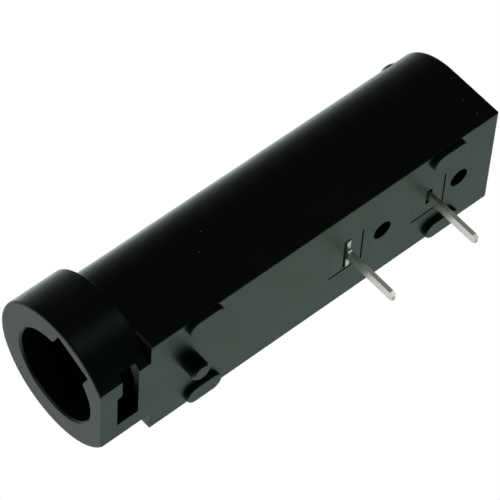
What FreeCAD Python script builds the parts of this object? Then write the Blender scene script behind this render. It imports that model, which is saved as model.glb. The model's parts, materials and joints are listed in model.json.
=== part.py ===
"""Cartridge fuse holder for a printed circuit board: an empty, shock-safe socket that lies flat.

Millimetres. +Z points away from the board, Z = 0 is the board's surface, and the barrel runs along Y
with its mouth facing -Y. The origin is on the board, midway between the two solder pins.
"""

import FreeCAD, Part
import math
import os

from FreeCAD import Vector

# ---- driving dimensions -------------------------------------------------------------------------
PIN_SPACING = 10.16         # solder pin to solder pin, a 0.4 inch grid
FRONT_PIN_DEPTH = 29.12     # mouth to the front solder pin
LENGTH = 47.2               # mouth to the rear face

COLLAR_RADIUS = 7.65
COLLAR_LENGTH = 5.7
BODY_RADIUS = 6.5           # half the body's width, and the radius of its round top
FLAT_DROP = 6.45            # barrel axis down to the flat underside
FOOT_HEIGHT = 0.5           # the feet lift the underside off the board
FEET = (                    # half the spacing across, then front and rear ends by depth
    (5.3, 9.8, 13.85),
    (5.2, 38.85, 43.0),
)
PEG_DEPTH = 10.4
FRONT_HOLE_DEPTH = 33.3
REAR_HOLE_DEPTH = 42.85

BORE_RADIUS = 4.9
BORE_DEPTH = 16.5
INNER_BORE_RADIUS = 4.7
INNER_BORE_DEPTH = 36.6
LIP_RADIUS = 3.45           # holds the contact button in its chamber
CHAMBER_RADIUS = 3.8
CHAMBER_START = 38.35
CHAMBER_END = 45.25
MOUTH_CHAMFER = 0.2

KEYWAY_WIDTH = 4.5          # lets the bayonet lug of a fuse carrier in
KEYWAY_BOTTOM = 6.46        # barrel axis out to the keyway's flat bottom
KEYWAY_ANGLE = 66.0         # from straight down, towards +X
LUG_TRACK_RADIUS = 6.2      # the lug turns along this track, from the keyway to the lock window
LUG_TRACK_START = 1.93
LUG_TRACK_END = 5.1

PLUG_WIDTH = 4.4            # the two plugs that close the terminals' openings
PLUG_LENGTH = 3.9
PLUG_AHEAD = 2.2            # solder pin to the plug's front edge
PLUG_GAP = 0.05
PLUG_SHIFT = 0.03           # each plug sits this far towards the mouth and +X in its opening
PLUG_SUNK = 0.05

METAL = 0.45                # terminal strip thickness
STRIP_WIDTH = 3.8
STRIP_GAP = 0.05
SIDE_LEG_DROP = 5.18        # barrel axis down to the middle of the side contact's strip
END_LEG_DROP = 4.08         # the same for the end contact's strip
END_PLUG_TOP = 4.9          # barrel axis down to the top of the rear plug
PIN_WIDTH = 1.05
PIN_REACH = 5.85            # solder pin tip below the board's surface
FRONT_SHOULDER = -0.02      # the front terminal's shoulders, up from the flat underside
REAR_SHOULDER = 0.8         # the rear terminal's shoulders stay inside its plug
BEND_RADIUS = 0.5           # of the strip's middle line

TONGUE_THICKNESS = 0.3
TONGUE_ROOT_DEPTH = 26.5
TONGUE_TIP_DEPTH = 19.0
TONGUE_POCKET_DROP = 5.6    # barrel axis down to the floor under the tongue

FLANGE_THICKNESS = 0.4      # of the rivet that carries the spring
BUTTON_THICKNESS = 1.0
BUTTON_GAP = 0.05           # between the contact button at rest and the lip that holds it
OVERCUT = 0.5               # how far a cutting tool runs on past the face that it opens

# ---- worked out from them -----------------------------------------------------------------------
MOUTH_Y = -(FRONT_PIN_DEPTH + PIN_SPACING / 2)
AXIS_Z = FLAT_DROP + FOOT_HEIGHT
FLAT_Z = FOOT_HEIGHT
REAR_PIN_DEPTH = FRONT_PIN_DEPTH + PIN_SPACING
PLATE_FRONT = CHAMBER_END - METAL                   # front of the end contact's upright plate
FLANGE_FRONT = PLATE_FRONT - FLANGE_THICKNESS
BUTTON_FRONT = CHAMBER_START + BUTTON_GAP
BUTTON_BACK = BUTTON_FRONT + BUTTON_THICKNESS

X_AXIS = Vector(1, 0, 0)
Y_AXIS = Vector(0, 1, 0)
DOWN = Vector(0, 0, -1)


def deep(distance):
    """Y of a point this far in from the mouth."""
    return MOUTH_Y + distance


def below(distance):
    """Z of a point this far below the barrel's axis."""
    return AXIS_Z - distance


# ---- small building blocks ----------------------------------------------------------------------
def block(x, y, z):
    """A box between two limits on each axis, given as (low, high) pairs in any order."""
    low = Vector(min(x), min(y), min(z))
    high = Vector(max(x), max(y), max(z))
    size = high - low
    return Part.makeBox(size.x, size.y, size.z, low)


def barrel_cylinder(radius, start, end, x=0.0, z=AXIS_Z):
    """A cylinder along the barrel, from one depth to another."""
    return Part.makeCylinder(radius, end - start, Vector(x, deep(start), z), Y_AXIS)


def barrel_cone(start_radius, end_radius, start, end):
    return Part.makeCone(start_radius, end_radius, end - start, Vector(0, deep(start), AXIS_Z), Y_AXIS)


def pick_edges(shape, wanted):
    """Edges whose middle point passes a test."""
    found = []
    for edge in shape.Edges:
        first, last = edge.ParameterRange
        if wanted(edge, edge.valueAt((first + last) / 2)):
            found.append(edge)
    return found


def round_edges(shape, radius, wanted):
    edges = pick_edges(shape, wanted)
    return shape.makeFillet(radius, edges) if edges else shape


def bevel_edges(shape, size, wanted):
    edges = pick_edges(shape, wanted)
    return shape.makeChamfer(size, edges) if edges else shape


def near(value, target, slack=0.02):
    return abs(value - target) < slack


def stadium(x, start, end, radius, low_z, high_z):
    """An upright prism with round ends, long along the barrel."""
    first = deep(start) + radius
    last = deep(end) - radius
    left, right = x - radius, x + radius
    edges = [
        Part.LineSegment(Vector(left, last, low_z), Vector(left, first, low_z)).toShape(),
        Part.Arc(Vector(left, first, low_z), Vector(x, first - radius, low_z),
                 Vector(right, first, low_z)).toShape(),
        Part.LineSegment(Vector(right, first, low_z), Vector(right, last, low_z)).toShape(),
        Part.Arc(Vector(right, last, low_z), Vector(x, last + radius, low_z),
                 Vector(left, last, low_z)).toShape(),
    ]
    return Part.Face(Part.Wire(edges)).extrude(Vector(0, 0, high_z - low_z))


def offset_corners(points, shift):
    """The corners of a polyline moved sideways by shift, keeping its runs parallel."""
    moved = []
    last = len(points) - 1
    for index, point in enumerate(points):
        before = (point - points[index - 1]).normalize() if index > 0 else None
        after = (points[index + 1] - point).normalize() if index < last else None
        sides = [X_AXIS.cross(run) for run in (before, after) if run is not None]
        side = sides[0] if len(sides) == 1 else (sides[0] + sides[1]) / (1 + sides[0].dot(sides[1]))
        moved.append(point + side * shift)
    return moved


def rounded_edges(points, radii):
    """Straight runs through the points, joined by tangent arcs at the inner points."""
    edges = []
    start = points[0]
    for index in range(1, len(points) - 1):
        corner = points[index]
        back = (points[index - 1] - corner).normalize()
        ahead = (points[index + 1] - corner).normalize()
        half = back.getAngle(ahead) / 2
        reach = radii[index - 1] / math.tan(half)
        arc_start = corner + back * reach
        arc_end = corner + ahead * reach
        inward = (back + ahead).normalize()
        middle = corner + inward * (radii[index - 1] / math.sin(half) - radii[index - 1])
        edges.append(Part.LineSegment(start, arc_start).toShape())
        edges.append(Part.Arc(arc_start, middle, arc_end).toShape())
        start = arc_end
    edges.append(Part.LineSegment(start, points[-1]).toShape())
    return edges


def bent_strip(corners, thickness, width, bend_radius):
    """Sheet metal of one thickness, bent along (depth, drop) corners and centred on X = 0."""
    middle = [Vector(-width / 2, deep(depth), below(drop)) for depth, drop in corners]
    turns = []
    for index in range(1, len(middle) - 1):
        before = middle[index] - middle[index - 1]
        after = middle[index + 1] - middle[index]
        turns.append(1 if X_AXIS.dot(before.cross(after)) > 0 else -1)
    sides = []
    for sign in (1, -1):
        radii = [bend_radius - sign * turn * thickness / 2 for turn in turns]
        sides.append((offset_corners(middle, sign * thickness / 2), radii))
    (upper, upper_radii), (lower, lower_radii) = sides
    lower.reverse()
    lower_radii.reverse()
    edges = rounded_edges(upper, upper_radii)
    edges.append(Part.LineSegment(upper[-1], lower[0]).toShape())
    edges += rounded_edges(lower, lower_radii)
    edges.append(Part.LineSegment(lower[-1], upper[0]).toShape())
    return Part.Face(Part.Wire(edges)).extrude(Vector(width, 0, 0))


# ---- housing ------------------------------------------------------------------------------------
def body_blank():
    """The long body: flat underside, upright sides and a half-round top."""
    start, end = COLLAR_LENGTH, LENGTH
    rear_round, edge_round, front_bevel, sharp_length = 0.3, 0.12, 0.15, 1.0
    sides, along = (-BODY_RADIUS, BODY_RADIUS), (deep(start), deep(end))
    lower = block(sides, along, (FLAT_Z, AXIS_Z))
    lower = bevel_edges(lower, front_bevel,
                        lambda edge, mid: near(mid.y, deep(start)) and near(abs(mid.x), BODY_RADIUS))
    behind_collar = math.sqrt(COLLAR_RADIUS ** 2 - BODY_RADIUS ** 2)
    sharp = block(sides, (deep(start), deep(start + sharp_length)), (below(behind_collar), AXIS_Z))
    upper = block(sides, along, (AXIS_Z, AXIS_Z + BODY_RADIUS))
    top = barrel_cylinder(BODY_RADIUS, start, end).common(upper)
    blank = lower.fuse([sharp, top]).removeSplitter()
    blank = round_edges(blank, rear_round, lambda edge, mid: near(mid.y, deep(end)))
    return round_edges(blank, edge_round,
                       lambda edge, mid: near(mid.z, FLAT_Z) and near(abs(mid.x), BODY_RADIUS))


def collar_blank():
    """The round collar at the mouth, cut off level with the body's flat underside."""
    front_round, rear_round = 0.25, 0.08
    neck_radius, neck_reach = BODY_RADIUS - 0.5, 0.6
    disc = barrel_cylinder(COLLAR_RADIUS, 0, COLLAR_LENGTH)
    disc = round_edges(disc, front_round, lambda edge, mid: near(mid.y, deep(0)))
    disc = round_edges(disc, rear_round, lambda edge, mid: near(mid.y, deep(COLLAR_LENGTH)))
    neck = barrel_cylinder(neck_radius, COLLAR_LENGTH - neck_reach, COLLAR_LENGTH + neck_reach)
    reach = 2 * COLLAR_RADIUS
    along = (deep(-OVERCUT), deep(COLLAR_LENGTH + neck_reach + OVERCUT))
    under = block((-reach, reach), along, (FLAT_Z - reach, FLAT_Z))
    return disc.fuse(neck).cut(under)


def feet():
    """Four low pads that hold the underside off the board."""
    radius, embed, edge_round = 1.05, 0.5, 0.12
    pads = []
    for x, start, end in FEET:
        for side in (-1, 1):
            pad = stadium(side * x, start, end, radius, 0, FLAT_Z + embed)
            pads.append(round_edges(pad, edge_round, lambda edge, mid: near(mid.z, 0)))
    return pads


def locating_peg():
    """The round peg under the collar's end of the body that finds its hole in the board."""
    radius, reach, embed, tip = 1.0, 1.1, 0.5, 0.2
    top = FLAT_Z + embed
    peg = Part.makeCylinder(radius, top + reach, Vector(0, deep(PEG_DEPTH), top), DOWN)
    return bevel_edges(peg, tip, lambda edge, mid: near(mid.z, -reach))


def gate_mark():
    """What the moulding gate left, low on the rear face."""
    radius, height, embed, x, rise = 0.6, 0.25, 0.3, -0.4, 0.95
    return barrel_cylinder(radius, LENGTH - embed, LENGTH + height, x, FLAT_Z + rise)


def top_mark():
    """A low domed mark near the rear end, a little to the +X side of the barrel's top."""
    dome_radius, height, depth, lean = 1.6, 0.2, 44.6, math.radians(27)
    out = BODY_RADIUS + height - dome_radius
    centre = Vector(out * math.sin(lean), deep(depth), AXIS_Z + out * math.cos(lean))
    return Part.makeSphere(dome_radius, centre)


def bore():
    """Everything that turns about the barrel's axis and is taken out of the housing."""
    cone_start = INNER_BORE_DEPTH
    cone_end = cone_start + INNER_BORE_RADIUS - LIP_RADIUS
    rivet_room_radius, rivet_room_depth = 1.7, 0.6
    step = BORE_RADIUS - INNER_BORE_RADIUS
    return [
        barrel_cylinder(BORE_RADIUS, -OVERCUT, BORE_DEPTH),
        barrel_cone(BORE_RADIUS + MOUTH_CHAMFER, BORE_RADIUS, 0, MOUTH_CHAMFER),
        barrel_cone(BORE_RADIUS, INNER_BORE_RADIUS, BORE_DEPTH, BORE_DEPTH + step),
        barrel_cylinder(INNER_BORE_RADIUS, BORE_DEPTH, cone_start),
        barrel_cone(INNER_BORE_RADIUS, LIP_RADIUS, cone_start, cone_end),
        barrel_cylinder(LIP_RADIUS, cone_start, CHAMBER_START),
        barrel_cylinder(CHAMBER_RADIUS, CHAMBER_START, CHAMBER_END),
        barrel_cylinder(rivet_room_radius, CHAMBER_END, CHAMBER_END + rivet_room_depth),
    ]


def off_axis(point):
    """How far a point is from the barrel's axis."""
    return math.hypot(point.x, point.z - AXIS_Z)


def keyway():
    """The flat-bottomed slot beside the bore that a bayonet lug slides in through, with soft shoulders."""
    half, shoulder_round = KEYWAY_WIDTH / 2, 1.2
    slot = block((-half, half), (deep(-OVERCUT), deep(LUG_TRACK_END)), (AXIS_Z, below(KEYWAY_BOTTOM)))
    slot.rotate(Vector(0, 0, AXIS_Z), Y_AXIS, -KEYWAY_ANGLE)
    slot = slot.fuse(barrel_cylinder(BORE_RADIUS, -OVERCUT, LUG_TRACK_END)).removeSplitter()
    return round_edges(slot, shoulder_round, lambda edge, mid: near(off_axis(mid), BORE_RADIUS)
                       and near(edge.Length, LUG_TRACK_END + OVERCUT))


def lug_track():
    """The groove round the bore that the lug turns along, from the keyway to past the lock window."""
    past_window, past_keyway = 20.0, 21.0
    length = LUG_TRACK_END - LUG_TRACK_START
    low_end, high_end = 180 + past_window, 180 - KEYWAY_ANGLE - past_keyway
    start = Vector(0, deep(LUG_TRACK_START), AXIS_Z)
    track = Part.makeCylinder(LUG_TRACK_RADIUS, length, start, Y_AXIS, low_end - high_end)
    track.rotate(start, Y_AXIS, high_end)
    return track


def lock_window():
    """The L-shaped opening in the collar's underside where the lug comes to rest and locks."""
    inner, outer, corner_round = 2.0, COLLAR_RADIUS + OVERCUT, 0.2
    far_x, step_x, near_x = 4.85, 2.0, -2.25
    step_depth, front_depth, rear_depth = 2.48, 1.93, 4.35
    step = block((near_x, far_x), (deep(step_depth), deep(rear_depth)), (below(inner), below(outer)))
    rest = block((near_x, step_x), (deep(front_depth), deep(rear_depth)), (below(inner), below(outer)))
    window = step.fuse(rest).removeSplitter()
    return round_edges(window, corner_round,
                       lambda edge, mid: near(mid.z, below((inner + outer) / 2)) and mid.x > 0)


def plug_opening(pin_depth, top_drop):
    """The rectangular opening in the underside that a terminal and its plug go in through."""
    half = PLUG_WIDTH / 2 + PLUG_GAP
    start = pin_depth - PLUG_AHEAD - PLUG_GAP + PLUG_SHIFT
    end = start + PLUG_LENGTH + 2 * PLUG_GAP
    sides = (-half - PLUG_SHIFT, half - PLUG_SHIFT)
    return block(sides, (deep(start), deep(end)), (below(top_drop), FLAT_Z - OVERCUT))


def round_hole(depth, height):
    """A core hole of the moulding, up into the flat underside."""
    radius = 1.05
    return Part.makeCylinder(radius, height + OVERCUT, Vector(0, deep(depth), FLAT_Z - OVERCUT), -DOWN)


def side_strip_groove():
    """Runs along the inner bore's floor: a seat for the side contact's strip, deeper under its tongue."""
    half, ahead_of_tip = STRIP_WIDTH / 2 + STRIP_GAP, 1.0
    middle = TONGUE_ROOT_DEPTH + STRIP_GAP
    rear = FRONT_PIN_DEPTH + METAL / 2
    seat = block((-half, half), (deep(middle), deep(rear)), (AXIS_Z, below(SIDE_LEG_DROP + METAL / 2)))
    front = TONGUE_TIP_DEPTH - ahead_of_tip
    pocket = block((-half, half), (deep(front), deep(middle)), (AXIS_Z, below(TONGUE_POCKET_DROP)))
    return [seat, pocket]


def end_strip_groove():
    """Runs along the chamber's floor and lets the end contact's strip down to its opening."""
    into_opening, bend_gap = 0.1, 0.03
    half = STRIP_WIDTH / 2 + STRIP_GAP
    sides = (-half, half)
    front = REAR_PIN_DEPTH - METAL / 2
    floor = below(END_LEG_DROP + METAL / 2)
    bend_room = BEND_RADIUS - METAL / 2 + bend_gap
    along = block(sides, (deep(front), deep(CHAMBER_END)), (AXIS_Z, floor))
    down = block(sides, (deep(front), deep(front + METAL)), (AXIS_Z, below(END_PLUG_TOP + into_opening)))
    corner = block(sides, (deep(front), deep(front + METAL + bend_room)), (AXIS_Z, floor - bend_room))
    return [along, down, corner]


def make_housing():
    through, blind = 3.0, 1.9
    housing = body_blank().fuse([collar_blank()] + feet() + [locating_peg(), gate_mark(), top_mark()])
    cuts = bore() + [keyway(), lug_track(), lock_window()] + side_strip_groove() + end_strip_groove()
    cuts += [plug_opening(FRONT_PIN_DEPTH, 0), plug_opening(REAR_PIN_DEPTH, END_PLUG_TOP)]
    cuts += [round_hole(FRONT_HOLE_DEPTH, through), round_hole(REAR_HOLE_DEPTH, blind)]
    return housing.cut(cuts).removeSplitter()


# ---- terminals and contacts ---------------------------------------------------------------------
def solder_tail(pin_depth, top_drop, shoulder_height):
    """A strip standing across the barrel that narrows at its shoulders to one solder pin."""
    wide, narrow = STRIP_WIDTH / 2, PIN_WIDTH / 2
    tip_width, tip_length, tip_bevel, root = 0.28, 0.45, 0.12, 0.35
    top, shoulder, tip = below(top_drop), FLAT_Z + shoulder_height, -PIN_REACH
    y = deep(pin_depth) - METAL / 2
    lean = math.sin(math.radians(45))
    edges = []
    for side in (1, -1):
        root_low = Vector(side * narrow, y, shoulder - root)
        root_side = Vector(side * (narrow + root), y, shoulder)
        root_middle = Vector(side * (narrow + root * (1 - lean)), y, shoulder - root * (1 - lean))
        tip_start = Vector(side * narrow, y, tip + tip_length)
        edges += [
            Part.LineSegment(Vector(side * wide, y, top), Vector(side * wide, y, shoulder)).toShape(),
            Part.LineSegment(Vector(side * wide, y, shoulder), root_side).toShape(),
            Part.Arc(root_side, root_middle, root_low).toShape(),
            Part.LineSegment(root_low, tip_start).toShape(),
            Part.LineSegment(tip_start, Vector(side * tip_width, y, tip)).toShape(),
        ]
    edges.append(Part.LineSegment(Vector(tip_width, y, tip), Vector(-tip_width, y, tip)).toShape())
    edges.append(Part.LineSegment(Vector(-wide, y, top), Vector(wide, y, top)).toShape())
    tail = Part.Face(Part.Wire(Part.__sortEdges__(edges))).extrude(Vector(0, METAL, 0))
    return bevel_edges(tail, tip_bevel, lambda edge, mid: near(mid.z, tip) and near(mid.x, 0))


def make_side_contact_strip():
    """Front terminal: the solder tail, bent forward into a short leg in the bore's floor."""
    leg = bent_strip(
        [(TONGUE_ROOT_DEPTH + STRIP_GAP, SIDE_LEG_DROP), (FRONT_PIN_DEPTH, SIDE_LEG_DROP),
         (FRONT_PIN_DEPTH, FLAT_DROP)],
        METAL, STRIP_WIDTH, BEND_RADIUS)
    tail = solder_tail(FRONT_PIN_DEPTH, SIDE_LEG_DROP + BEND_RADIUS, FRONT_SHOULDER)
    return leg.fuse(tail).removeSplitter()


def make_side_contact_tongue():
    """The springy end of the side contact: it rises into the bore and its tip curls away again."""
    width, bend_radius, straight = 3.0, 1.1, 0.5
    crest_depth, crest_drop, tip_drop = 20.5, 4.2, 4.55
    half = TONGUE_THICKNESS / 2
    root_drop = SIDE_LEG_DROP - METAL / 2 + half
    rise_depth = TONGUE_ROOT_DEPTH - straight
    return bent_strip(
        [(TONGUE_ROOT_DEPTH, root_drop), (rise_depth, root_drop), (crest_depth, crest_drop + half),
         (TONGUE_TIP_DEPTH, tip_drop + half)],
        TONGUE_THICKNESS, width, bend_radius)


def make_end_contact_strip():
    """Rear terminal: the solder tail, a leg along the chamber's floor and an upright end plate."""
    plate_top, corner_round, hole_radius = 2.5, 0.8, 1.02
    plate_depth = CHAMBER_END - METAL / 2
    leg = bent_strip(
        [(REAR_PIN_DEPTH, END_PLUG_TOP), (REAR_PIN_DEPTH, END_LEG_DROP), (plate_depth, END_LEG_DROP),
         (plate_depth, -plate_top)],
        METAL, STRIP_WIDTH, BEND_RADIUS)
    leg = round_edges(leg, corner_round, lambda edge, mid: near(mid.z, below(-plate_top))
                      and near(abs(mid.x), STRIP_WIDTH / 2) and near(edge.Length, METAL))
    tail = solder_tail(REAR_PIN_DEPTH, END_LEG_DROP + BEND_RADIUS, REAR_SHOULDER)
    hole = barrel_cylinder(hole_radius, PLATE_FRONT - OVERCUT, CHAMBER_END + OVERCUT)
    return leg.fuse(tail).cut(hole).removeSplitter()


def make_spring_seat_rivet():
    """Fixes the spring to the end plate: a hub inside the coils, a flange behind them and a peened tail."""
    hub_radius, flange_radius, shank_radius, tail_radius = 1.92, 2.6, 1.0, 1.55
    hub_length, tail_length = 1.0, 0.5
    hub_bevel, tail_bevel = 0.25, 0.3
    hub_front = FLANGE_FRONT - hub_length
    tail_end = CHAMBER_END + tail_length
    hub = barrel_cylinder(hub_radius, hub_front, FLANGE_FRONT)
    hub = bevel_edges(hub, hub_bevel, lambda edge, mid: near(mid.y, deep(hub_front)))
    flange = barrel_cylinder(flange_radius, FLANGE_FRONT, PLATE_FRONT)
    shank = barrel_cylinder(shank_radius, PLATE_FRONT, CHAMBER_END)
    tail = barrel_cylinder(tail_radius, CHAMBER_END, tail_end)
    tail = bevel_edges(tail, tail_bevel, lambda edge, mid: near(mid.y, deep(tail_end)))
    return hub.fuse([flange, shank, tail]).removeSplitter()


def make_contact_button():
    """The sliding button that presses on the fuse's end cap."""
    radius, rim_bevel = 3.6, 0.2
    hub_radius, hub_length, hub_bevel = 1.9, 1.2, 0.25
    dish_radius, dish_slope, dish_depth = 2.5, 0.3, 0.35
    hub_end = BUTTON_BACK + hub_length
    disc = barrel_cylinder(radius, BUTTON_FRONT, BUTTON_BACK)
    disc = bevel_edges(disc, rim_bevel, lambda edge, mid: near(mid.y, deep(BUTTON_FRONT)))
    hub = barrel_cylinder(hub_radius, BUTTON_BACK, hub_end)
    hub = bevel_edges(hub, hub_bevel, lambda edge, mid: near(mid.y, deep(hub_end)))
    dish = barrel_cone(dish_radius + dish_slope, dish_radius, BUTTON_FRONT, BUTTON_FRONT + dish_depth)
    return disc.fuse(hub).cut(dish).removeSplitter()


def make_contact_spring():
    """The coil between the button and the rivet, drawn as one even helix."""
    wire_radius, coil_radius, turns = 0.24, 2.26, 4.5
    front = BUTTON_BACK + wire_radius
    rear = FLANGE_FRONT - wire_radius
    length = rear - front
    helix = Part.makeHelix(length / turns, length, coil_radius)
    slope = math.atan2(length / turns, 2 * math.pi * coil_radius)
    across = Vector(0, math.cos(slope), math.sin(slope))
    section = Part.Wire(Part.makeCircle(wire_radius, Vector(coil_radius, 0, 0), across))
    coil = Part.Wire(helix).makePipeShell([section], True, True)
    coil.rotate(Vector(0, 0, 0), X_AXIS, -90)
    coil.translate(Vector(0, deep(front), AXIS_Z))
    return coil


def make_terminal_plug(pin_depth, top_drop, shoulder_height):
    """Closes the opening that a terminal goes in through; the tail leaves by a slot across it."""
    edge_bevel, slot_ahead, pin_room, past_strip = 0.06, 0.3, 0.3, 0.4
    half = PLUG_WIDTH / 2
    start = pin_depth - PLUG_AHEAD
    low = FLAT_Z + PLUG_SUNK
    plug = block((-half, half), (deep(start), deep(start + PLUG_LENGTH)), (below(top_drop), low))
    plug = bevel_edges(plug, edge_bevel, lambda edge, mid: near(mid.z, low))
    slot = (deep(pin_depth - METAL / 2 - slot_ahead), deep(pin_depth + METAL / 2))
    wide, narrow = STRIP_WIDTH / 2 + STRIP_GAP, PIN_WIDTH / 2 + pin_room
    return plug.cut([
        block((-wide, wide + past_strip), slot, (AXIS_Z, FLAT_Z + shoulder_height - STRIP_GAP)),
        block((-narrow, narrow + past_strip), slot, (AXIS_Z, FLAT_Z - OVERCUT)),
    ])


# ---- write the sub-parts ------------------------------------------------------------------------
def main():
    os.makedirs("parts", exist_ok=True)
    pieces = {
        "housing": make_housing(),
        "side_contact_strip": make_side_contact_strip(),
        "side_contact_tongue": make_side_contact_tongue(),
        "end_contact_strip": make_end_contact_strip(),
        "spring_seat_rivet": make_spring_seat_rivet(),
        "contact_spring": make_contact_spring(),
        "contact_button": make_contact_button(),
        "front_terminal_plug": make_terminal_plug(
            FRONT_PIN_DEPTH, SIDE_LEG_DROP + METAL / 2, FRONT_SHOULDER),
        "rear_terminal_plug": make_terminal_plug(REAR_PIN_DEPTH, END_PLUG_TOP, REAR_SHOULDER),
    }
    for name, shape in pieces.items():
        solids = shape.Solids
        print(f"{name}: {len(solids)} solid(s), valid {shape.isValid()}, {shape.Volume:.1f} mm3")
        whole = solids[0] if len(solids) == 1 else shape
        whole.exportStep(os.path.join("parts", name + ".step"))


main()
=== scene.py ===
"""Looks of an empty cartridge fuse holder that lies flat on a circuit board.

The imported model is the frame: metres, +Z away from the board, Z = 0 on the board's surface, and the
barrel along Y with its mouth facing -Y. CAD nodes keep their shape and get materials here, and the
contact spring is wound afresh with closed ends.
"""

import json
import math

import bmesh
import bpy
from mathutils import Matrix, Vector


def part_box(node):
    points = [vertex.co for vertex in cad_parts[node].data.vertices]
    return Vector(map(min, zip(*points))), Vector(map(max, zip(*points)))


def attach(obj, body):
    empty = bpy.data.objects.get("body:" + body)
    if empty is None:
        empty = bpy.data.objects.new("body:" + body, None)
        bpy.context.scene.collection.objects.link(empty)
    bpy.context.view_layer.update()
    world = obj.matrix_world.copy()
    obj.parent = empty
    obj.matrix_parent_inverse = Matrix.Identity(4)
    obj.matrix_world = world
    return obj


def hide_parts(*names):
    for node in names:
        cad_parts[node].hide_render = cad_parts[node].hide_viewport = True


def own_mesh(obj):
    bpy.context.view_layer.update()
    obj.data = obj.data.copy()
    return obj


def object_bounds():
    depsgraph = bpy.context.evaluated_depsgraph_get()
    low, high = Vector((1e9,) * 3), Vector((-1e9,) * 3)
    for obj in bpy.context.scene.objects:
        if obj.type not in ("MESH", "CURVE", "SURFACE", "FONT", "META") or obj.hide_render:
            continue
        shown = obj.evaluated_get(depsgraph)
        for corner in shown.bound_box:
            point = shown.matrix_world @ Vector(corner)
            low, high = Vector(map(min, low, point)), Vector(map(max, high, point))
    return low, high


MM = 0.001

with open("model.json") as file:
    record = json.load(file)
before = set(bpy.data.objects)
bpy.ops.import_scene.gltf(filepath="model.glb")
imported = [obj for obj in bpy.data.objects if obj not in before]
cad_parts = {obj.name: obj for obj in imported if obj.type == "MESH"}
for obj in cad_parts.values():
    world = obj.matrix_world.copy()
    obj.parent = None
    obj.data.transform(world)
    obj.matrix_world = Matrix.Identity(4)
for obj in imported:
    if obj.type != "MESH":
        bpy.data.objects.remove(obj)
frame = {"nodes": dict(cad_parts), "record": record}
cad_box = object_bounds()

# ---- places read from the frame -----------------------------------------------------------------
HOUSING_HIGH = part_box("housing")[1]
COLLAR_RADIUS = HOUSING_HIGH.x
AXIS_Z = HOUSING_HIGH.z - COLLAR_RADIUS
PIN_TIP_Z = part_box("end_contact_strip")[0].z
SPRING_LOW, SPRING_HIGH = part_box("contact_spring")
CENTRE = (cad_box[0] + cad_box[1]) / 2

# ---- stage settings -----------------------------------------------------------------------------
LAMP_DISTANCE = 0.6             # about how far each soft lamp is from the object's centre
FLOOR_HALF = 20.0               # half the floor's side, so that its edge is far off
FLOOR_GAP = 0.02 * MM           # pin tips down to the floor

# ---- node settings ------------------------------------------------------------------------------
MIX_A, MIX_B, MIX_RESULT = 6, 7, 2      # the colour sockets of a Mix node
NOISE_ROUGHNESS = 0.55
CLOUD_SPAN = (0.3, 0.7)                 # where most values of a coarse noise lie
GRAIN_SPAN = (0.2, 0.8)                 # the same for the fine grain


# ---- node helpers -------------------------------------------------------------------------------
class NodeTree:
    """Short ways to add and join the nodes of a material or of the world."""

    def __init__(self, owner):
        owner.use_nodes = True
        self.tree = owner.node_tree

    def add(self, kind, **settings):
        """A new node with these properties."""
        node = self.tree.nodes.new(kind)
        for name, value in settings.items():
            setattr(node, name, value)
        return node

    def feed(self, socket, value):
        """Links another socket to this one, or sets it to a number, a vector or an opaque colour."""
        if isinstance(value, bpy.types.NodeSocket):
            self.tree.links.new(value, socket)
        elif socket.type == "RGBA":
            socket.default_value = (*value, 1.0)
        else:
            socket.default_value = value

    def remap(self, value, low, high, to_low=0.0, to_high=1.0):
        """A number moved from the range low to high to the range to_low to to_high."""
        node = self.add("ShaderNodeMapRange")
        ends = {"From Min": low, "From Max": high, "To Min": to_low, "To Max": to_high}
        for name, number in ends.items():
            node.inputs[name].default_value = number
        self.feed(node.inputs["Value"], value)
        return node.outputs["Result"]

    def maths(self, operation, first, second=None):
        """The result of an operation on one or two numbers."""
        node = self.add("ShaderNodeMath", operation=operation)
        self.feed(node.inputs[0], first)
        if second is not None:
            self.feed(node.inputs[1], second)
        return node.outputs[0]

    def vector_maths(self, operation, first, second=None):
        """The outputs of an operation on one or two vectors: Vector, or Value for a number."""
        node = self.add("ShaderNodeVectorMath", operation=operation)
        self.feed(node.inputs[0], first)
        if second is not None:
            self.feed(node.inputs[1], second)
        return node.outputs

    def mix(self, factor, first, second):
        """Two colours mixed."""
        node = self.add("ShaderNodeMix", data_type="RGBA")
        self.feed(node.inputs["Factor"], factor)
        self.feed(node.inputs[MIX_A], first)
        self.feed(node.inputs[MIX_B], second)
        return node.outputs[MIX_RESULT]

    def mix_shaders(self, factor, first, second):
        """The first shader where the factor is 0 and the second where it is 1."""
        node = self.add("ShaderNodeMixShader")
        for socket, value in zip(node.inputs, (factor, first, second)):
            self.feed(socket, value)
        return node.outputs["Shader"]


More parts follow.
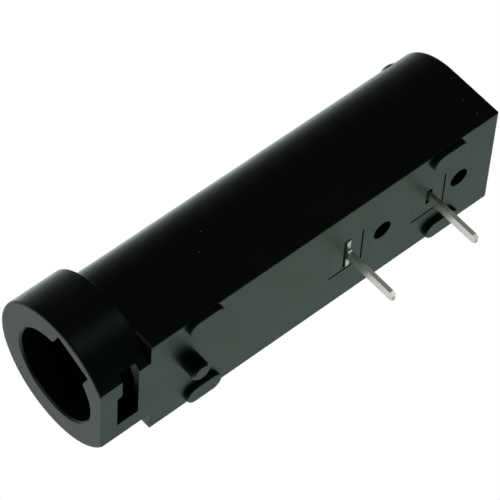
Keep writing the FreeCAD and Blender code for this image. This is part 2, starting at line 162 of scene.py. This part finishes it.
class Surface(NodeTree):
    """A material built up from one Principled shader, in the object's own coordinates."""

    def __init__(self, name):
        self.material = bpy.data.materials.new(name)
        super().__init__(self.material)
        self.shader = self.tree.nodes["Principled BSDF"]
        self.place = self.add("ShaderNodeTexCoord").outputs["Object"]

    def set(self, **values):
        """Plain values on the shader's own sockets, with _ for a space in their names."""
        for name, value in values.items():
            self.feed(self.shader.inputs[name.replace("_", " ")], value)

    def mapped(self, **settings):
        """The object's coordinates, moved by a Location or stretched by a Scale."""
        node = self.add("ShaderNodeMapping")
        for name, value in settings.items():
            self.feed(node.inputs[name], value)
        self.feed(node.inputs["Vector"], self.place)
        return node.outputs["Vector"]

    def noise(self, per_metre, detail, place=None):
        """Smooth noise with about this many waves to the metre, or to the unit of another place."""
        node = self.add("ShaderNodeTexNoise")
        node.inputs["Scale"].default_value = per_metre
        node.inputs["Detail"].default_value = detail
        node.inputs["Roughness"].default_value = NOISE_ROUGHNESS
        self.feed(node.inputs["Vector"], place or self.place)
        return node.outputs["Fac"]

    def bump(self, height, depth, strength):
        """A relief this deep all over the surface."""
        node = self.add("ShaderNodeBump")
        node.inputs["Strength"].default_value = strength
        node.inputs["Distance"].default_value = depth
        self.feed(node.inputs["Height"], height)
        self.feed(self.shader.inputs["Normal"], node.outputs["Normal"])

    def finish(self, colour, roughness):
        """The material, once its colour and roughness are joined to the shader."""
        self.feed(self.shader.inputs["Base Color"], colour)
        self.feed(self.shader.inputs["Roughness"], roughness)
        return self.material


# ---- materials ----------------------------------------------------------------------------------
def moulded_plastic(name, dark, light, roughness):
    """Black satin thermoplastic: fine spark-eroded grain, cloudy flow and a little pale dust."""
    dust_colour, cells_per_metre = (0.30, 0.33, 0.32), 600
    dusty_above = 0.7                           # a cell has a speck if its random grey is above this
    speck_radius = 0.06                         # in cell widths
    cloud_change, grain_change = 0.03, 0.04     # either way, of the roughness
    s = Surface(name)
    cloud = s.noise(per_metre=180, detail=2.0)
    grain = s.noise(per_metre=9000, detail=2.0)
    plastic = s.mix(s.remap(cloud, *CLOUD_SPAN), dark, light)

    dust = s.add("ShaderNodeTexVoronoi", feature="F1")
    dust.inputs["Scale"].default_value = cells_per_metre
    s.feed(dust.inputs["Vector"], s.place)
    dusty_cell = s.maths("GREATER_THAN", dust.outputs["Color"], dusty_above)
    speck = s.maths("LESS_THAN", dust.outputs["Distance"], speck_radius)
    colour = s.mix(s.maths("MULTIPLY", dusty_cell, speck), plastic, dust_colour)

    s.bump(grain, depth=0.008 * MM, strength=0.5)
    change = s.maths("ADD", s.remap(cloud, *CLOUD_SPAN, -cloud_change, cloud_change),
                     s.remap(grain, *GRAIN_SPAN, -grain_change, grain_change))
    s.set(IOR=1.5, Specular_Tint=(0.85, 1.0, 0.93))
    return s.finish(colour, s.maths("ADD", change, roughness))


def tinned_metal():
    """Bright tin on stamped strip, slightly clouded: faint lines up and down, as along the pins."""
    dull, bright = (0.73, 0.72, 0.66), (0.86, 0.84, 0.79)
    smoothest, roughest = 0.26, 0.36
    line_stretch = (14000, 14000, 500)          # waves to the metre along X, Y and Z
    s = Surface("tinned_strip")
    s.set(Metallic=0.82)
    cloud = s.noise(per_metre=900, detail=4.0)
    lines = s.noise(1.0, detail=3.0, place=s.mapped(Scale=line_stretch))
    colour = s.mix(s.remap(cloud, *CLOUD_SPAN), dull, bright)
    s.bump(lines, depth=0.003 * MM, strength=0.3)
    return s.finish(colour, s.remap(cloud, *CLOUD_SPAN, smoothest, roughest))


def turned_brass():
    """Nickel over turned brass, with rings left by the tool round the barrel's axis."""
    dull, bright = (0.66, 0.60, 0.45), (0.80, 0.76, 0.64)
    smoothest, roughest = 0.22, 0.34
    ring_spacing = 0.09 * MM
    s = Surface("plated_brass")
    s.set(Metallic=1.0)
    from_axis = s.vector_maths("MULTIPLY", s.mapped(Location=(0, 0, -AXIS_Z)), (1, 0, 1))["Vector"]
    radius = s.vector_maths("LENGTH", from_axis)["Value"]
    rings = s.maths("SINE", s.maths("MULTIPLY", radius, 2 * math.pi / ring_spacing))
    cloud = s.noise(per_metre=700, detail=4.0)
    colour = s.mix(s.remap(cloud, *CLOUD_SPAN), dull, bright)
    s.bump(rings, depth=0.003 * MM, strength=0.5)
    return s.finish(colour, s.remap(cloud, *CLOUD_SPAN, smoothest, roughest))


def drawn_wire():
    """Bright drawn spring wire."""
    dull, bright = (0.50, 0.50, 0.50), (0.66, 0.66, 0.65)
    smoothest, roughest = 0.24, 0.34
    s = Surface("spring_wire")
    s.set(Metallic=1.0)
    cloud = s.noise(per_metre=1500, detail=3.0)
    colour = s.mix(cloud, dull, bright)
    s.bump(s.noise(per_metre=12000, detail=2.0), depth=0.003 * MM, strength=0.4)
    return s.finish(colour, s.remap(cloud, *CLOUD_SPAN, smoothest, roughest))


MATERIALS = {
    "black_housing": moulded_plastic("black_housing", dark=(0.007, 0.011, 0.009),
                                     light=(0.011, 0.016, 0.0135), roughness=0.32),
    "black_plug": moulded_plastic("black_plug", dark=(0.009, 0.014, 0.011),
                                  light=(0.013, 0.019, 0.016), roughness=0.30),
    "tinned_strip": tinned_metal(),
    "plated_brass": turned_brass(),
    "spring_wire": drawn_wire(),
}
for part in frame["record"]["subparts"]:
    node = frame["nodes"][part["node"]]
    node.data.materials.clear()
    node.data.materials.append(MATERIALS[part["material_slot"]])


# ---- contact spring -----------------------------------------------------------------------------
def wound_spring():
    """A compression spring along the barrel with one closed turn at each end, ground flat."""
    wire_radius = 0.24 * MM
    closed_turns, open_turns = 1.0, 3.5         # closed at each end, and open between
    steps, sides = 48, 14                       # rings to a turn, and points to a ring
    closed_pitch = 2.05 * wire_radius           # leaves a hair's gap between closed turns
    coil_radius = (SPRING_HIGH.x - SPRING_LOW.x) / 2 - wire_radius
    open_length = (SPRING_HIGH.y - SPRING_LOW.y) - 2 * wire_radius - 2 * closed_turns * closed_pitch
    turns = 2 * closed_turns + open_turns
    count = int(turns * steps)

    mesh = bmesh.new()
    rings = []
    for i in range(count + 1):
        turn = turns * i / count
        opened = min(max(turn - closed_turns, 0), open_turns)
        along = closed_pitch * (turn - opened) + open_length * opened / open_turns
        angle = 2 * math.pi * turn
        out = Vector((math.cos(angle), 0, math.sin(angle)))
        centre = Vector((0, SPRING_LOW.y + wire_radius + along, AXIS_Z)) + out * coil_radius
        ring = []
        for k in range(sides):
            around = 2 * math.pi * k / sides
            point = centre + (out * math.cos(around) + Vector((0, math.sin(around), 0))) * wire_radius
            point.y = min(max(point.y, SPRING_LOW.y), SPRING_HIGH.y)
            ring.append(mesh.verts.new(point))
        rings.append(ring)
    for first, second in zip(rings, rings[1:]):
        for k in range(sides):
            mesh.faces.new((first[k], first[(k + 1) % sides], second[(k + 1) % sides], second[k]))
    mesh.faces.new(list(reversed(rings[0])))
    mesh.faces.new(rings[-1])
    bmesh.ops.recalc_face_normals(mesh, faces=mesh.faces)

    data = bpy.data.meshes.new("coil_spring")
    mesh.to_mesh(data)
    mesh.free()
    for polygon in data.polygons:
        polygon.use_smooth = len(polygon.vertices) == 4     # the wire's two end faces stay flat
    data.materials.append(MATERIALS["spring_wire"])
    piece = bpy.data.objects.new("coil_spring", data)
    bpy.context.scene.collection.objects.link(piece)
    return piece


spring = wound_spring()
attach(spring, "holder")
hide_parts("contact_spring")
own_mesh(spring)


# ---- stage --------------------------------------------------------------------------------------
def make_world():
    """Soft studio surround: bright on the left, dim on the right, greener below, plain white behind."""
    brightest_side = Vector((-1.0, 0.0, 0.2)).normalized()
    levels = (      # how far towards that side, from -1 to 1, and how bright
        (-1.0, 0.035), (-0.25, 0.04), (0.1, 0.1), (0.3, 0.27),
        (0.45, 0.48), (0.6, 0.62), (0.8, 0.67), (1.0, 0.66),
    )
    low_z, low_tint = -0.35, (0.76, 1.0, 0.86)
    high_z, high_tint = 0.15, (0.92, 1.0, 0.95)

    world = bpy.data.worlds.new("studio")
    bpy.context.scene.world = world
    sky = NodeTree(world)
    sky.tree.nodes.clear()
    place = sky.add("ShaderNodeTexCoord").outputs["Generated"]
    side = sky.vector_maths("DOT_PRODUCT", place, brightest_side)["Value"]
    ramp = sky.add("ShaderNodeValToRGB")
    elements = ramp.color_ramp.elements
    while len(elements) < len(levels):
        elements.new(0.5)                                   # each is placed just below
    for element, (where, level) in zip(elements, levels):
        element.position = (where + 1) / 2
        element.color = (level, level, level, 1)
    sky.feed(ramp.inputs["Fac"], sky.remap(side, -1.0, 1.0))

    axes = sky.add("ShaderNodeSeparateXYZ")
    sky.feed(axes.inputs["Vector"], place)
    tint = sky.mix(sky.remap(axes.outputs["Z"], low_z, high_z), low_tint, high_tint)
    around = sky.add("ShaderNodeBackground")
    sky.feed(around.inputs["Color"],
             sky.vector_maths("MULTIPLY", ramp.outputs["Color"], tint)["Vector"])
    behind = sky.add("ShaderNodeBackground")
    sky.feed(behind.inputs["Color"], (1, 1, 1))
    to_camera = sky.add("ShaderNodeLightPath").outputs["Is Camera Ray"]
    sky.feed(sky.add("ShaderNodeOutputWorld").inputs["Surface"],
             sky.mix_shaders(to_camera, around.outputs["Background"], behind.outputs["Background"]))


def make_floor():
    """A pale floor under the pins, seen from above only, that takes no part in lighting the object."""
    z = PIN_TIP_Z - FLOOR_GAP
    corners = [(-FLOOR_HALF, -FLOOR_HALF, z), (FLOOR_HALF, -FLOOR_HALF, z),
               (FLOOR_HALF, FLOOR_HALF, z), (-FLOOR_HALF, FLOOR_HALF, z)]
    data = bpy.data.meshes.new("floor")
    data.from_pydata(corners, [], [(0, 1, 2, 3)])
    floor = bpy.data.objects.new("floor", data)
    bpy.context.scene.collection.objects.link(floor)

    material = bpy.data.materials.new("pale_floor")
    s = NodeTree(material)
    s.tree.nodes.clear()
    paint = s.add("ShaderNodeBsdfDiffuse")
    s.feed(paint.inputs["Color"], (0.85, 0.85, 0.85))
    clear = s.add("ShaderNodeBsdfTransparent")
    from_below = s.add("ShaderNodeNewGeometry").outputs["Backfacing"]
    s.feed(s.add("ShaderNodeOutputMaterial").inputs["Surface"],
           s.mix_shaders(from_below, paint.outputs["BSDF"], clear.outputs["BSDF"]))
    data.materials.append(material)
    floor.visible_diffuse = False
    floor.visible_glossy = False
    floor.visible_shadow = False
    return floor


def add_lamp(name, kind, towards):
    """A lamp turned so that it shines from the side that towards points to."""
    lamp = bpy.data.objects.new(name, bpy.data.lights.new(name, kind))
    bpy.context.scene.collection.objects.link(lamp)
    lamp.rotation_mode = "QUATERNION"
    lamp.rotation_quaternion = towards.to_track_quat("Z", "Y")
    return lamp


def soft_light(name, towards, size, watts, colour=(1, 1, 1)):
    """A round lamp this many metres across, facing the object's centre."""
    towards = Vector(towards)
    lamp = add_lamp(name, "AREA", towards)
    lamp.location = CENTRE + towards * LAMP_DISTANCE
    lamp.visible_camera = False
    lamp.data.shape = "DISK"
    lamp.data.size = size
    lamp.data.energy = watts
    lamp.data.color = colour
    return lamp


def sunlight(name, towards, spread, strength):
    """Even light from one side, spread over this many degrees."""
    lamp = add_lamp(name, "SUN", Vector(towards))
    lamp.data.angle = math.radians(spread)
    lamp.data.energy = strength
    return lamp


def light_only(lamp, pieces):
    """Lets a lamp reach these pieces and no others."""
    group = bpy.data.collections.new(lamp.name + "_reach")
    for piece in pieces:
        group.objects.link(piece)
    lamp.light_linking.receiver_collection = group


def direction(azimuth, elevation):
    """Unit vector towards a place round the object: azimuth 0 is the mouth's side, 90 is +X."""
    a, e = math.radians(azimuth), math.radians(elevation)
    return Vector((math.sin(a) * math.cos(e), -math.cos(a) * math.cos(e), math.sin(e)))


def make_camera():
    """A long lens that looks up at the underside from between the mouth and +X, rolled over."""
    azimuth, elevation, roll = 63.785, -24.634, 45.626
    aim, distance = Vector((0.171, -11.889, 6.332)) * MM, 319.605 * MM
    data = bpy.data.cameras.new("camera")
    data.sensor_width = 36
    data.lens = 252.65
    data.clip_start = 0.01
    camera = bpy.data.objects.new("camera", data)
    bpy.context.scene.collection.objects.link(camera)
    back = direction(azimuth, elevation)
    level = back.to_track_quat("Z", "Y")
    camera.rotation_mode = "QUATERNION"
    camera.rotation_quaternion = level @ Matrix.Rotation(math.radians(-roll), 3, "Z").to_quaternion()
    camera.location = aim + back * distance
    bpy.context.scene.camera = camera


make_world()
floor = make_floor()
soft_light("collar_glint", (0.893, 0.402, -0.204), size=0.16, watts=0.045, colour=(0.8, 0.95, 1.0))
soft_light("rim_light", (-0.68, 0.42, 0.60), size=0.38, watts=0.31, colour=(0.85, 1.0, 0.92))
soft_light("mouth_light", (0.1, -0.98, 0.15), size=0.5, watts=0.3)
pin_lights = (
    soft_light("pin_root_light", (0.9, 0.42, 0.1), size=0.3, watts=0.15),
    soft_light("pin_front_light", (-0.88, -0.46, 0.1), size=0.4, watts=0.15),
    soft_light("pin_tip_light", (0.79, 0.40, -0.46), size=0.1, watts=0.12),
)
for lamp in pin_lights:
    light_only(lamp, [frame["nodes"]["side_contact_strip"], frame["nodes"]["end_contact_strip"]])
floor_light = sunlight("floor_light", (-0.25, -0.1, 1.0), spread=35, strength=2.8)
light_only(floor_light, [floor])
make_camera()
bpy.context.scene.view_settings.view_transform = "Standard"
